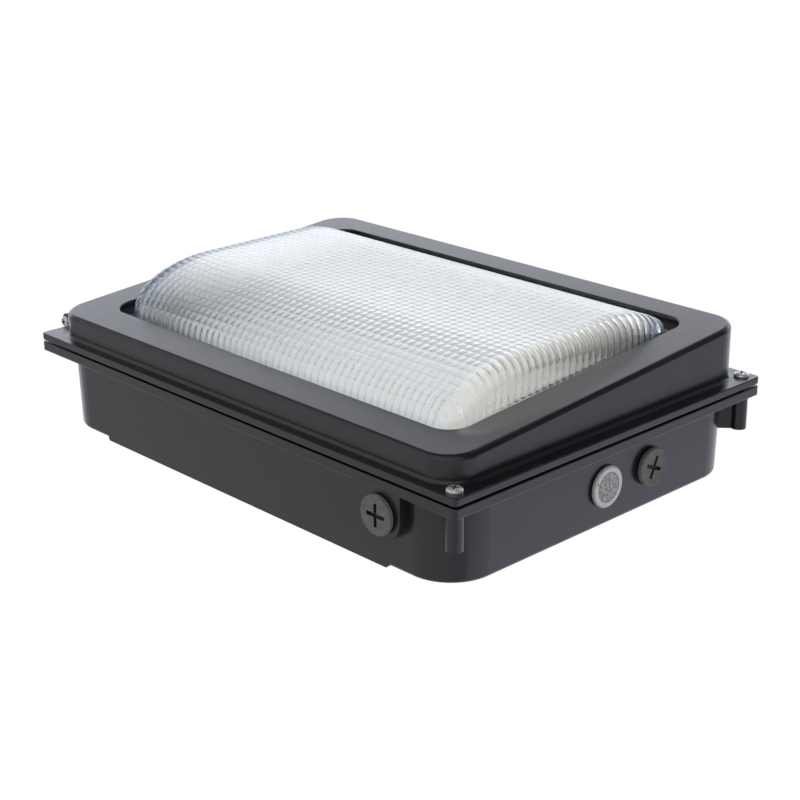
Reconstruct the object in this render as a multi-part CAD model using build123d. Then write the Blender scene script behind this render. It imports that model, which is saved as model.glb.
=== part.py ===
from build123d import *
import os
from math import atan2, degrees, hypot

# Outdoor wall light with a hinged lens door. Sizes are in millimetres.
# The pieces are drawn with the light on its back: X along its length, Y up the wall and
# Z out from the wall. Each piece is turned upright as it is written, so that the wall is
# the plane Y = 0, the front looks along -Y and +Z is up.

# Flanges that meet round the front of the box
flange_length = 400.0
flange_width = 276.0
flange_corner = 3.0
flange_edge = 0.6
housing_flange = 6.3
seam_gap = 1.4
door_flange = 4.6

# Back box, set in from the edge of the flange
box_inset_x = 11.0
box_inset_y = 8.0
box_corner = 30.0
box_depth = 50.5
box_draft = 1.2
box_wall = 4.0
box_floor = 5.3
back_round = 2.5
pad_inset = 51.0
pad_height = 1.7
pad_chamfer = 1.2

# Door frame: a wedge whose face rises towards the top of the light
frame_inset_x = 9.5
frame_inset_y = 7.0
frame_corner = 21.0
frame_wall = 4.0
frame_face = 4.0
frame_height = 26.5
frame_slope = 0.078
frame_round = 3.2
frame_foot = 2.5
border_x = 27.0
border_y = 24.5
aperture_shift = 2.5
aperture_corner = 15.0
aperture_edge = 0.8

# Glass lens
lens_inset = 6.5
lens_shift = 3.0
lens_corner = 26.0
lens_height = 47.5
lens_glass = 4.0
lens_shoulder = 12.0
lens_rise_run = 70.0
lens_rise = 32.0
lens_fall_run = 48.0
lens_fall_radius = 80.0
rim_reach = 6.0
rim_glass = 4.0

# Lens seal and clips
lens_seal = 2.0
lens_seal_lip = -5.5
clip_end_inset = 53.5
clip_width = 14.0
clip_sheet = 1.5
clip_grip = 4.0
clip_boss_radius = 4.5
clip_boss_gap = 1.0
clip_screw_radius = 1.6
clip_screw_bite = 4.0
clip_head_radius = 3.0
clip_head_height = 2.0

# Door seal
seal_groove_inset = 2.0
seal_width = 5.0
seal_groove_depth = 1.2
seal_side_gap = 0.2

# Door screws and their bosses at the right corners
door_screw_inset_x = 8.7
door_screw_inset_y = 8.3
door_screw_radius = 2.05
door_screw_hole = 2.5
door_screw_bite = 8.0
door_head_radius = 4.9
door_head_height = 2.6
door_head_round = 1.0
door_screw_turn = 30.0
screw_boss_radius = 5.15
screw_boss_length = 22.6
screw_boss_web = 4.0
screw_boss_floor = 7.6

# Hinges at the left end
hinge_offset = 6.0
hinge_rise = 1.0
hinge_radius = 5.5
hinge_inset = 25.0
knuckle_length = 12.0
knuckle_gap = 0.5
hinge_pin_radius = 2.5
hinge_pin_fit = 0.05
hinge_head_radius = 4.0
hinge_head_height = 2.8
hinge_head_round = 0.9
hinge_head_gap = 0.1
hinge_arm_gap = 1.5

# Conduit entries, half-inch size, and their plugs
entry_radius = 10.5
entry_boss_radius = 16.5
entry_boss_recess = 0.5
entry_inner_boss = 4.0
bottom_entry_inset = 49.0
bottom_entry_level = 37.2
end_entry_y = 41.0
end_entry_level = 28.5
seat_margin = 0.3
seat_rise = 0.5
plug_head_radius = 12.25
plug_head = 3.0
plug_head_round = 0.6
plug_stem_gap = 0.4
plug_stem = 9.0
plug_slot_length = 14.5
plug_slot_width = 2.4
plug_slot_depth = 2.0
plug_turn_at_end = 66.0
plug_seal = 0.6
plug_seal_inset = 0.6

# Photocell button on the right end
photocell_y = -0.4
photocell_level = 27.7
photocell_radius = 13.1
photocell_flange = 1.3
photocell_dome_radius = 12.4
photocell_dome = 0.8
photocell_dome_round = 0.4
photocell_stem_gap = 0.3
photocell_stem = 24.0
photocell_pocket = 4.0
photocell_pocket_radius = 7.0
photocell_sensor = 6.0
photocell_seal = 0.5
photocell_nut_across = 27.0
photocell_nut = 5.0

# Wall fixings in the back
wall_bolt_spacing_x = 250.0
wall_bolt_spacing_y = 160.0
wall_bolt_radius = 3.25
box_screw_spacing = 88.9
box_screw_radius = 2.6
rear_entry_radius = 11.1

# Lamp tray on four posts
tray_drop = 10.5
tray_sheet = 1.5
tray_side_gap = 5.0
post_radius = 5.0
post_inset_x = 26.0
post_inset_y = 27.0
board_length = 240.0
board_width = 130.0
board_thickness = 1.6
board_hole_inset = 6.0
chip_size = 5.0
chip_height = 1.5
chip_rows = 5
chip_columns = 12
chip_margin_x = 21.0
chip_margin_y = 21.0
reflector_sheet = 1.0
reflector_gap = 12.0
reflector_lip = 8.0
reflector_corner = 20.0
reflector_side_gap = 7.0
reflector_top_gap = 1.0
rivet_radius = 1.5
rivet_head_radius = 2.5
rivet_head = 1.0

# Small screws inside, all of one size
screw_radius = 1.9
screw_head_radius = 3.6
screw_head_height = 2.4
screw_head_round = 0.8
screw_bite = 5.0
screw_hole_gap = 0.1
cross_width_share = 0.25
cross_depth_share = 0.5

# Driver, terminals and earth screw on the floor of the box
driver_length = 170.0
driver_width = 56.0
driver_height = 34.0
driver_top_gap = 18.0
driver_ear = 12.0
driver_ear_sheet = 2.5
driver_edge = 2.0
terminal_length = 60.0
terminal_width = 22.0
terminal_height = 16.0
terminal_inset = 70.0
terminal_deck = 4.0
terminal_edge = 1.0
terminal_ways = 4
terminal_entry = 3.0
terminal_entry_depth = 5.5
ground_gap = 32.0
ground_ring_radius = 5.0
ground_ring = 1.0
lead_radius = 1.1
lead_bend = 6.0
lead_pitch = 6.0
lead_lift = 0.1
lead_hole_radius = 6.0
led_lead_inset = 12.0
led_lead_y = 40.0
led_lead_tail = 12.0
side_run_inset = 49.0
photocell_lead_rise = 8.5
mains_lead_rise = 2.0

# Outlines
box_length = flange_length - 2 * box_inset_x
box_width = flange_width - 2 * box_inset_y
pad_length = box_length - 2 * pad_inset
frame_length = flange_length - 2 * frame_inset_x
frame_width = flange_width - 2 * frame_inset_y
aperture_length = frame_length - 2 * border_x
aperture_width = frame_width - 2 * border_y
lens_length = aperture_length - 2 * lens_inset
lens_width = aperture_width - 2 * lens_inset

# Levels above the wall
back_level = pad_height
floor_level = back_level + box_floor
flange_under = back_level + box_depth
flange_top = flange_under + housing_flange
door_under = flange_top + seam_gap
door_front = door_under + door_flange
face_level = door_front + frame_height
face_inside = face_level - frame_face
rim_top = face_inside - lens_seal
rim_under = rim_top - rim_glass
lens_top = door_front + lens_height
tray_level = flange_top - tray_drop
tray_top = tray_level + tray_sheet
board_top = tray_top + board_thickness
hinge_level = door_front + hinge_rise

# Places along and across the light
hinge_outer = flange_width / 2 - hinge_inset
hinge_x = -flange_length / 2 - hinge_offset
terminal_y = terminal_inset - box_width / 2
driver_y = box_width / 2 - box_wall - driver_top_gap - driver_width / 2
terminal_notch = 2 * (screw_head_radius + terminal_edge)
ground_x = terminal_length / 2 + ground_gap
led_lead_x = board_length / 2 - led_lead_inset
side_run_x = box_length / 2 - side_run_inset
door_screw_x = flange_length / 2 - door_screw_inset_x
door_screw_y = flange_width / 2 - door_screw_inset_y
bottom_entry_x = box_length / 2 - bottom_entry_inset
clip_long_spacing = aperture_length / 2 - clip_end_inset
lens_fall_start = lens_shift + lens_width / 2 - lens_fall_run
clear_above = lens_top + frame_length
both_ways = (-1, 1)
near = 0.01


def plate(length, width, corner, low, high, shift=0.0):
    outline = RectangleRounded(length, width, corner)
    return Pos(0, shift, low) * extrude(outline, high - low)


def rod(radius, start, end):
    """A round bar between two points."""
    axis = Vector(*end) - Vector(*start)
    plane = Plane(origin=start, z_dir=axis)
    return extrude(plane * Circle(radius), axis.length)


def post(radius, x, y, low, high):
    """An upright round bar between two levels."""
    return Pos(x, y, (low + high) / 2) * Cylinder(radius, high - low)


def below_slope(level):
    """Everything under a plane parallel to the sloping face of the door."""
    reach = flange_width
    rise = frame_slope * reach
    top = [(reach, level + rise), (-reach, level - rise)]
    outline = Polyline((-reach, -reach), (reach, -reach), *top, close=True)
    return extrude(Plane.YZ * make_face(outline), flange_length, both=True)


def sloped(upright, low, high):
    """The part of an upright prism between two planes parallel to the door's face."""
    return upright & below_slope(high) - below_slope(low)


def box_outline(level, inset):
    grow = box_draft * (level - back_level) / box_depth - inset
    return Pos(0, 0, level) * RectangleRounded(box_length + 2 * grow, box_width + 2 * grow, box_corner + grow)


def box_body(low, high, inset):
    return loft([box_outline(low, inset), box_outline(high, inset)], ruled=True)


def box_half_length(level):
    return box_length / 2 + box_draft * (level - back_level) / box_depth


def box_half_width(level):
    return box_width / 2 + box_draft * (level - back_level) / box_depth


photocell_seat = box_half_length(photocell_level) + seat_rise
entry_face = flange_width / 2 - entry_boss_recess
end_seats = [
    (end_entry_y, end_entry_level, 1, plug_head_radius),
    (end_entry_y, end_entry_level, -1, plug_head_radius),
    (photocell_y, photocell_level, 1, photocell_radius),
]
tray_posts = [
    (sx * (box_length / 2 - box_wall - post_inset_x), sy * (box_width / 2 - box_wall - post_inset_y))
    for sx in both_ways
    for sy in both_ways
]
wall_bolts = [
    (sx * wall_bolt_spacing_x / 2, sy * wall_bolt_spacing_y / 2)
    for sx in both_ways
    for sy in both_ways
]
box_screws = [(sx * box_screw_spacing / 2, 0) for sx in both_ways]
driver_fixings = [(sx * (driver_length / 2 + driver_ear / 2), driver_y) for sx in both_ways]
terminal_fixings = [(sx * (terminal_length / 2 - terminal_notch / 2), terminal_y) for sx in both_ways]
board_fixings = [
    (sx * (board_length / 2 - board_hole_inset), sy * (board_width / 2 - board_hole_inset))
    for sx in both_ways
    for sy in both_ways
]


def entry_boss():
    """U-shaped boss of the entry in the bottom wall, from the wall up to the flange."""
    rise = flange_under - bottom_entry_level
    outline = Pos(bottom_entry_x, bottom_entry_level) * Circle(entry_boss_radius)
    outline += Pos(bottom_entry_x, bottom_entry_level + rise / 2) * Rectangle(2 * entry_boss_radius, rise)
    inside = box_half_width(bottom_entry_level) - box_wall
    return Pos(0, -inside, 0) * extrude(Plane.XZ * outline, entry_face - inside)


def screw_boss(side):
    """Boss for one door screw, with the web that ties it to the corner of the box."""
    low = flange_under - screw_boss_length
    y = side * door_screw_y
    boss = post(screw_boss_radius, door_screw_x, y, low, flange_under + housing_flange / 2)
    root_x = box_length / 2 - box_corner
    root_y = side * (box_width / 2 - box_corner)
    run_x = door_screw_x - root_x
    run_y = y - root_y
    web = Pos(root_x + run_x / 2, root_y + run_y / 2, flange_under - screw_boss_length / 2)
    web *= Rot(0, 0, degrees(atan2(run_y, run_x)))
    return boss + web * Box(hypot(run_x, run_y), screw_boss_web, screw_boss_length)


def door_screw_bore(side, low):
    y = side * door_screw_y
    return post(door_screw_hole, door_screw_x, y, low, door_front + housing_flange)


def housing_knuckle(side):
    """Fixed half of one hinge, inboard of the door's half."""
    high = hinge_outer - knuckle_length - knuckle_gap
    low = high - knuckle_length
    barrel = rod(hinge_radius, (hinge_x, side * low, hinge_level), (hinge_x, side * high, hinge_level))
    middle = side * (low + high) / 2
    arm_left = hinge_x - hinge_radius
    arm_right = -flange_length / 2 - hinge_arm_gap
    arm_height = hinge_level - flange_under
    arm = Box(arm_right - arm_left, knuckle_length, arm_height)
    arm = Pos((arm_left + arm_right) / 2, middle, flange_under + arm_height / 2) * arm
    root_right = -flange_length / 2
    root = Box(root_right - arm_left, knuckle_length, housing_flange)
    root = Pos((arm_left + root_right) / 2, middle, flange_under + housing_flange / 2) * root
    return barrel + arm + root


def door_knuckle(side):
    """Swinging half of one hinge, outboard of the housing's half."""
    low = hinge_outer - knuckle_length
    barrel = rod(hinge_radius, (hinge_x, side * low, hinge_level), (hinge_x, side * hinge_outer, hinge_level))
    root = -flange_length / 2
    leaf = Box(root - hinge_x, knuckle_length, door_flange)
    leaf = Pos((hinge_x + root) / 2, side * (low + hinge_outer) / 2, door_under + door_flange / 2) * leaf
    return barrel + leaf


def hinge_pair(knuckle):
    """Both halves of one kind, bored for their pins. Each stands on the edge of its flange."""
    reach = flange_width / 2
    radius = hinge_pin_radius + hinge_pin_fit
    bore = rod(radius, (hinge_x, -reach, hinge_level), (hinge_x, reach, hinge_level))
    return Compound([knuckle(side) - bore for side in both_ways])


def floor_screw_hole(x, y):
    return post(screw_radius + screw_hole_gap, x, y, floor_level - screw_bite, floor_level)


def seal_track(inset, low, high):
    """Ring that runs round the front of the box, on the housing flange."""
    mouth = box_draft * (flange_top - back_level) / box_depth - box_wall + seal_groove_inset
    ring = None
    for reach in (mouth + seal_width - inset, mouth + inset):
        solid = plate(box_length + 2 * reach, box_width + 2 * reach, box_corner + reach, low, high)
        ring = solid if ring is None else ring - solid
    return ring


def rear_housing():
    body = box_body(back_level, flange_top, 0)
    body = fillet(body.faces().sort_by(Axis.Z)[0].edges(), back_round)
    flange = plate(flange_length, flange_width, flange_corner, flange_under, flange_top)
    flange = fillet(flange.edges().filter_by(Plane.XY), flange_edge)
    pad = Pos(0, 0, floor_level / 2) * Box(pad_length, box_width, floor_level)
    pad_ends = pad.edges().filter_by(Axis.Y).group_by(Axis.Z)[0]
    body += flange + chamfer(pad_ends, pad_chamfer)
    for side in both_ways:
        body += screw_boss(side)
    body += entry_boss()
    for y, level, side, head_radius in end_seats:
        outer = side * (box_half_length(level) + seat_rise)
        wall = side * (box_half_length(level) - box_wall)
        body += rod(head_radius + seat_margin, (wall, y, level), (outer, y, level))
    body -= box_body(floor_level, flange_top + seam_gap, box_wall)
    inside = box_half_width(bottom_entry_level) - box_wall
    bottom_deep = (bottom_entry_x, entry_inner_boss - inside, bottom_entry_level)
    body += rod(entry_boss_radius, (bottom_entry_x, -inside - box_wall / 2, bottom_entry_level), bottom_deep)
    for y, level, side, head_radius in end_seats:
        wall = side * (box_half_length(level) - box_wall)
        deep = wall - side * entry_inner_boss
        body += rod(head_radius + seat_margin, (wall + side * box_wall / 2, y, level), (deep, y, level))
        body -= rod(entry_radius, (side * flange_length / 2, y, level), (deep, y, level))
    body -= rod(entry_radius, (bottom_entry_x, -flange_width / 2, bottom_entry_level), bottom_deep)
    for x, y in tray_posts:
        body += post(post_radius, x, y, floor_level - box_floor / 2, tray_level)
        body -= post(screw_radius + screw_hole_gap, x, y, tray_level - screw_bite, tray_level)
    for side in both_ways:
        body -= door_screw_bore(side, flange_under - screw_boss_length + screw_boss_floor)
    body -= seal_track(0, flange_top - seal_groove_depth, door_under)
    for x, y in wall_bolts:
        body -= post(wall_bolt_radius, x, y, -pad_height, floor_level)
    for x, y in box_screws:
        body -= post(box_screw_radius, x, y, -pad_height, floor_level)
    body -= post(rear_entry_radius, 0, 0, -pad_height, floor_level)
    for x, y in driver_fixings + terminal_fixings + [(ground_x, terminal_y)]:
        body -= floor_screw_hole(x, y)
    return body


def door_gasket():
    return seal_track(seal_side_gap, flange_top - seal_groove_depth, door_under)


def clip_places():
    """Centre of each lens clip's boss, and the direction from it to the glass."""
    rim_x = aperture_length / 2 + rim_reach
    rim_y = aperture_width / 2 + rim_reach
    away = clip_boss_gap + clip_boss_radius
    places = []
    for side in both_ways:
        places.append((side * (rim_x + away), aperture_shift, -side, 0))
        for step in (-1, 0, 1):
            places.append((step * clip_long_spacing, aperture_shift + side * (rim_y + away), 0, -side))
    return places


def at_frame_foot(edge):
    """True for an edge where the frame's wall stands on the flange."""
    bounds = edge.bounding_box()
    level = abs(bounds.min.Z - door_front) < near and abs(bounds.max.Z - door_front) < near
    within_x = max(bounds.max.X, -bounds.min.X) < frame_length / 2 + near
    within_y = max(bounds.max.Y, -bounds.min.Y) < frame_width / 2 + near
    return level and within_x and within_y


def front_frame():
    wedge = plate(frame_length, frame_width, frame_corner, door_under, clear_above) & below_slope(face_level)
    wedge = fillet(wedge.faces().sort_by(Axis.Z)[-1].edges(), frame_round)
    flange = plate(flange_length, flange_width, flange_corner, door_under, door_front)
    flange = fillet(flange.edges().filter_by(Plane.XY), flange_edge)
    body = wedge + flange
    body = fillet(body.edges().filter_by(at_frame_foot), frame_foot)
    body -= around_aperture(0)
    face = body.faces().filter_by(lambda side: side.inner_wires()).sort_by(Axis.Z)[-1]
    body = fillet(face.inner_wires()[0].edges(), aperture_edge)
    hollow_length = frame_length - 2 * frame_wall
    hollow_width = frame_width - 2 * frame_wall
    hollow = plate(hollow_length, hollow_width, frame_corner - frame_wall, flange_top, clear_above)
    body -= hollow & below_slope(face_inside)
    for x, y, along_x, along_y in clip_places():
        boss = post(clip_boss_radius, x, y, door_under, clear_above)
        hole = post(clip_screw_radius + screw_hole_gap, x, y, door_under, clear_above)
        body += sloped(boss, rim_under, face_inside + frame_face / 2)
        body -= sloped(hole, rim_under - seam_gap, rim_under + clip_screw_bite + screw_hole_gap)
    for side in both_ways:
        body -= door_screw_bore(side, flange_top)
    return body


def glass_loaf(inset):
    """Solid loaf of the lens, or of its hollow when inset by the glass thickness."""
    top = lens_top - inset
    bottom = lens_shift - lens_width / 2 + inset
    far = lens_shift + lens_width / 2 - inset
    run = lens_rise_run - inset
    rise = lens_rise - inset
    radius = lens_fall_radius - inset
    drop = radius - (radius**2 - (far - lens_fall_start) ** 2) ** 0.5
    with BuildSketch(Plane.YZ) as side_view:
        with BuildLine():
            EllipticalCenterArc((bottom + run, top - rise), run, rise, start_angle=90, arc_size=90)
            Line((bottom + run, top), (lens_fall_start, top))
            TangentArc((lens_fall_start, top), (far, top - drop), tangent=(1, 0))
            Polyline((far, top - drop), (far, door_under), (bottom, door_under), (bottom, top - rise))
        make_face()
    loaf = extrude(side_view.sketch, lens_length / 2 - inset, both=True)
    shoulder = []
    for end in (loaf.faces().sort_by(Axis.X)[0], loaf.faces().sort_by(Axis.X)[-1]):
        for edge in end.edges():
            centre = edge.center()
            if centre.Y < far - near and centre.Z > door_under + near:
                shoulder.append(edge)
    loaf = fillet(shoulder, lens_shoulder - inset)
    length = lens_length - 2 * inset
    width = lens_width - 2 * inset
    return loaf & plate(length, width, lens_corner - inset, door_under, clear_above, lens_shift)


def around_aperture(reach):
    """Upright prism of the aperture's outline, made larger all round by a reach."""
    length = aperture_length + 2 * reach
    width = aperture_width + 2 * reach
    return plate(length, width, aperture_corner + reach, door_under, clear_above, aperture_shift)


def lens():
    loaf = glass_loaf(0) - below_slope(rim_under)
    return loaf + sloped(around_aperture(rim_reach), rim_under, rim_top) - glass_loaf(lens_glass)


def lens_gasket():
    return sloped(around_aperture(rim_reach) - around_aperture(lens_seal_lip), rim_top, face_inside)


def lens_clips():
    clips = []
    for x, y, along_x, along_y in clip_places():
        tail = clip_boss_radius - clip_boss_gap
        reach = clip_boss_radius + clip_boss_gap + clip_grip
        shift = (reach - tail) / 2
        length = reach + tail
        size_x = length if along_x else clip_width
        size_y = length if along_y else clip_width
        strip = Box(size_x, size_y, face_level)
        strip = Pos(x + along_x * shift, y + along_y * shift, face_level / 2) * strip
        strip -= post(clip_screw_radius + screw_hole_gap, x, y, 0, face_level)
        clips.append(sloped(strip, rim_under - clip_sheet, rim_under))
    return Compound(clips)


def clip_screws():
    screws = []
    for x, y, along_x, along_y in clip_places():
        head = post(clip_head_radius, x, y, 0, clear_above)
        shank = post(clip_screw_radius, x, y, 0, clear_above)
        seat = rim_under - clip_sheet
        head = sloped(head, seat - clip_head_height, seat)
        screws.append(head + sloped(shank, seat - clip_head_height / 2, rim_under + clip_screw_bite))
    return Compound(screws)


def cross_recess(length, width, depth):
    """Cross-shaped cutter that sinks into the plane Z = 0."""
    return Box(length, width, 2 * depth) + Box(width, length, 2 * depth)


def pan_screw(head_radius, head_height, head_round, shank_radius, shank_length):
    """Cross-slot screw standing on Z = 0, its shank pointing down."""
    head = Pos(0, 0, head_height / 2) * Cylinder(head_radius, head_height)
    head = fillet(head.edges().group_by(Axis.Z)[-1], head_round)
    recess = cross_recess(head_radius, head_radius * cross_width_share, head_height * cross_depth_share)
    head -= Pos(0, 0, head_height) * recess
    return head + Pos(0, 0, -shank_length / 2) * Cylinder(shank_radius, shank_length)


def door_screw(side):
    length = door_front - flange_top + door_screw_bite
    screw = pan_screw(door_head_radius, door_head_height, door_head_round, door_screw_radius, length)
    return Pos(door_screw_x, side * door_screw_y, door_front) * Rot(0, 0, door_screw_turn) * screw


def through_screw(x, y, level, sheet):
    """Small screw whose head stands on a sheet laid over its hole."""
    length = screw_bite + sheet
    screw = pan_screw(screw_head_radius, screw_head_height, screw_head_round, screw_radius, length)
    return Pos(x, y, level + sheet) * screw


def hinge_screws():
    length = 2 * knuckle_length + knuckle_gap + hinge_head_gap
    screws = []
    for side in both_ways:
        screw = pan_screw(hinge_head_radius, hinge_head_height, hinge_head_round, hinge_pin_radius, length)
        place = Pos(hinge_x, side * (hinge_outer + hinge_head_gap), hinge_level)
        screws.append(place * Rot(-90 * side, 0, 0) * screw)
    return Compound(screws)


def conduit_plug():
    """Plug standing on Z = 0 with its stem pointing down through its seal."""
    head = Pos(0, 0, plug_seal + plug_head / 2) * Cylinder(plug_head_radius, plug_head)
    head = fillet(head.edges().group_by(Axis.Z)[-1], plug_head_round)
    slot = cross_recess(plug_slot_length, plug_slot_width, plug_slot_depth)
    head -= Pos(0, 0, plug_seal + plug_head) * slot
    length = plug_stem + plug_seal
    return head + Pos(0, 0, plug_seal - length / 2) * Cylinder(entry_radius - plug_stem_gap, length)


def plug_seal_ring():
    ring = Cylinder(plug_head_radius - plug_seal_inset, plug_seal)
    ring -= Cylinder(entry_radius - plug_stem_gap + screw_hole_gap, plug_seal)
    return Pos(0, 0, plug_seal / 2) * ring


def at_bottom_entry(piece):
    return Pos(bottom_entry_x, -entry_face, bottom_entry_level) * Rot(90, 0, 0) * piece


def at_end(piece, side, y, level):
    return Pos(side * (box_half_length(level) + seat_rise), y, level) * Rot(0, 90 * side, 0) * piece


def at_photocell(piece):
    return at_end(piece, 1, photocell_y, photocell_level)


def photocell_body():
    flange = Pos(0, 0, photocell_seal + photocell_flange / 2) * Cylinder(photocell_radius, photocell_flange)
    length = photocell_stem + photocell_seal
    stem = Cylinder(entry_radius - photocell_stem_gap, length)
    body = flange + Pos(0, 0, photocell_seal - length / 2) * stem
    top = photocell_seal + photocell_flange
    return body - Pos(0, 0, top - photocell_pocket / 2) * Cylinder(photocell_pocket_radius, photocell_pocket)


def photocell_window():
    base = photocell_seal + photocell_flange
    window = Pos(0, 0, base + photocell_dome / 2) * Cylinder(photocell_dome_radius, photocell_dome)
    return fillet(window.edges().group_by(Axis.Z)[-1], photocell_dome_round)


def photocell_sensor_chip():
    height = photocell_pocket / 2
    base = photocell_seal + photocell_flange - photocell_pocket
    return Pos(0, 0, base + height / 2) * Box(photocell_sensor, photocell_sensor, height)


def photocell_gasket():
    ring = Cylinder(photocell_radius - plug_seal_inset, photocell_seal)
    ring -= Cylinder(entry_radius - photocell_stem_gap + screw_hole_gap, photocell_seal)
    return Pos(0, 0, photocell_seal / 2) * ring


def photocell_nut_ring():
    depth = seat_rise + box_wall + entry_inner_boss
    nut = extrude(RegularPolygon(photocell_nut_across / 2, 6, major_radius=False), photocell_nut)
    bore = Cylinder(entry_radius - photocell_stem_gap + screw_hole_gap, photocell_nut)
    nut -= Pos(0, 0, photocell_nut / 2) * bore
    return Pos(0, 0, -depth - photocell_nut) * nut


def led_tray():
    inset = box_wall + tray_side_gap
    length = 2 * (box_half_length(tray_level) - inset)
    width = 2 * (box_half_width(tray_level) - inset)
    tray = plate(length, width, box_corner - inset, tray_level, tray_top)
    for x, y in tray_posts + board_fixings:
        tray -= post(screw_radius + screw_hole_gap, x, y, tray_level, tray_top)
    for x, y in rivet_places():
        tray -= post(rivet_radius + screw_hole_gap, x, y, tray_level, tray_top)
    return tray - post(lead_hole_radius, led_lead_x, led_lead_y, tray_level, tray_top)


def tray_screws():
    return Compound([through_screw(x, y, tray_level, tray_sheet) for x, y in tray_posts])


def led_board():
    board = Pos(0, 0, tray_top + board_thickness / 2) * Box(board_length, board_width, board_thickness)
    for x, y in board_fixings:
        board -= post(screw_radius + screw_hole_gap, x, y, tray_top, board_top)
    return board - post(lead_hole_radius, led_lead_x, led_lead_y, tray_top, board_top)


def board_screws():
    return Compound([through_screw(x, y, tray_top, board_thickness) for x, y in board_fixings])


def led_chips():
    span_x = board_length - 2 * chip_margin_x
    span_y = board_width - 2 * chip_margin_y
    chips = []
    for column in range(chip_columns):
        for row in range(chip_rows):
            x = -span_x / 2 + column * span_x / (chip_columns - 1)
            y = -span_y / 2 + row * span_y / (chip_rows - 1)
            chips.append(Pos(x, y, board_top + chip_height / 2) * Box(chip_size, chip_size, chip_height))
    return Compound(chips)


def rivet_places():
    away_x = board_length / 2 + reflector_gap - reflector_lip / 2
    away_y = board_width / 2 + reflector_gap - reflector_lip / 2
    return [(away_x, 0), (-away_x, 0), (0, away_y), (0, -away_y)]


def reflector_funnel():
    """Solid that fills the reflector from the top of its lip to its open front."""
    inset = box_wall + reflector_side_gap
    front = flange_top - reflector_top_gap
    low_length = board_length + 2 * reflector_gap
    low_width = board_width + 2 * reflector_gap
    low = RectangleRounded(low_length, low_width, reflector_corner)
    high_length = 2 * (box_half_length(front) - inset)
    high_width = 2 * (box_half_width(front) - inset)
    high = RectangleRounded(high_length, high_width, box_corner - inset)
    return loft([Pos(0, 0, tray_top + reflector_sheet) * low, Pos(0, 0, front) * high], ruled=True)


def reflector():
    funnel = reflector_funnel()
    lip_top = tray_top + reflector_sheet
    lip_length = board_length + 2 * reflector_gap
    lip_width = board_width + 2 * reflector_gap
    lip = plate(lip_length, lip_width, reflector_corner, tray_top, lip_top)
    sides = Pos(0, 0, -reflector_sheet) * funnel - funnel - lip
    inner_length = board_length + 2 * (reflector_gap - reflector_lip)
    inner_width = board_width + 2 * (reflector_gap - reflector_lip)
    lip -= plate(inner_length, inner_width, reflector_corner - reflector_lip, tray_top, lip_top)
    for x, y in rivet_places():
        lip -= post(rivet_radius + screw_hole_gap, x, y, tray_top, tray_top + reflector_sheet)
    return sides + lip


def reflector_rivets():
    rivets = []
    for x, y in rivet_places():
        seat = tray_top + reflector_sheet
        head = post(rivet_head_radius, x, y, seat, seat + rivet_head)
        rivets.append(head + post(rivet_radius, x, y, tray_level, seat))
    return Compound(rivets)


def led_driver():
    case = Box(driver_length, driver_width, driver_height)
    case = fillet(case.edges().filter_by(Axis.Z), driver_edge)
    case = Pos(0, driver_y, floor_level + driver_height / 2) * case
    ears = Box(driver_length + 2 * driver_ear, driver_width / 2, driver_ear_sheet)
    case += Pos(0, driver_y, floor_level + driver_ear_sheet / 2) * ears
    for x, y in driver_fixings:
        case -= post(screw_radius + screw_hole_gap, x, y, floor_level, floor_level + driver_ear_sheet)
    return case


def driver_screws():
    return Compound([through_screw(x, y, floor_level, driver_ear_sheet) for x, y in driver_fixings])


def terminal_block():
    block = Box(terminal_length, terminal_width, terminal_height)
    block = Pos(0, terminal_y, floor_level + terminal_height / 2) * block
    deck = floor_level + terminal_deck
    for x, y in terminal_fixings:
        block -= Pos(x, y, deck + terminal_height / 2) * Box(terminal_notch, terminal_width, terminal_height)
        block -= post(screw_radius + screw_hole_gap, x, y, floor_level, deck)
    span = terminal_length - 2 * terminal_notch
    for way in range(terminal_ways):
        x = (way - (terminal_ways - 1) / 2) * span / terminal_ways
        middle = floor_level + terminal_height / 2
        mouth = terminal_y - terminal_width / 2
        block -= rod(terminal_entry, (x, mouth, middle), (x, mouth + terminal_entry_depth, middle))
    return block


def terminal_screws():
    return Compound([through_screw(x, y, floor_level, terminal_deck) for x, y in terminal_fixings])


def ground_screw():
    return through_screw(ground_x, terminal_y, floor_level, ground_ring)


def lead(*points):
    """Insulated wire along a route with rounded bends."""
    route = FilletPolyline(*points, radius=lead_bend)
    start = Plane(origin=route @ 0, z_dir=route % 0)
    return sweep(start * Circle(lead_radius), path=route)


def led_leads():
    wires = []
    for side in both_ways:
        y = driver_y + side * lead_pitch / 2
        x = led_lead_x - side * lead_pitch / 2
        run = floor_level + driver_height / 2
        landing = board_top + lead_radius + lead_lift
        tail = led_lead_y - lead_pitch - led_lead_tail
        start = [(driver_length / 2, y, run), (x, y, run), (x, led_lead_y, run)]
        wires.append(lead(*start, (x, led_lead_y, landing), (x, tail, landing)))
    return Compound(wires)


def photocell_leads():
    wires = []
    inner = photocell_seat - photocell_stem
    for side in both_ways:
        x = side_run_x + side * lead_pitch / 2
        start_y = photocell_y - side * lead_pitch / 2
        end_y = driver_y - driver_width / 4 + side * lead_pitch / 2
        run = floor_level + photocell_lead_rise
        start = [(inner, start_y, photocell_level), (x, start_y, photocell_level), (x, start_y, run)]
        wires.append(lead(*start, (x, end_y, run), (driver_length / 2, end_y, run)))
    return Compound(wires)


def mains_leads():
    wires = []
    for side in both_ways:
        x = -side_run_x - side * lead_pitch / 2
        start_y = driver_y + side * lead_pitch / 2
        end_y = terminal_y - side * lead_pitch / 2
        run = floor_level + mains_lead_rise
        high = floor_level + driver_height / 2
        start = [(-driver_length / 2, start_y, high), (x, start_y, high), (x, end_y, high)]
        wires.append(lead(*start, (x, end_y, run), (-terminal_length / 2, end_y, run)))
    return Compound(wires)


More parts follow.
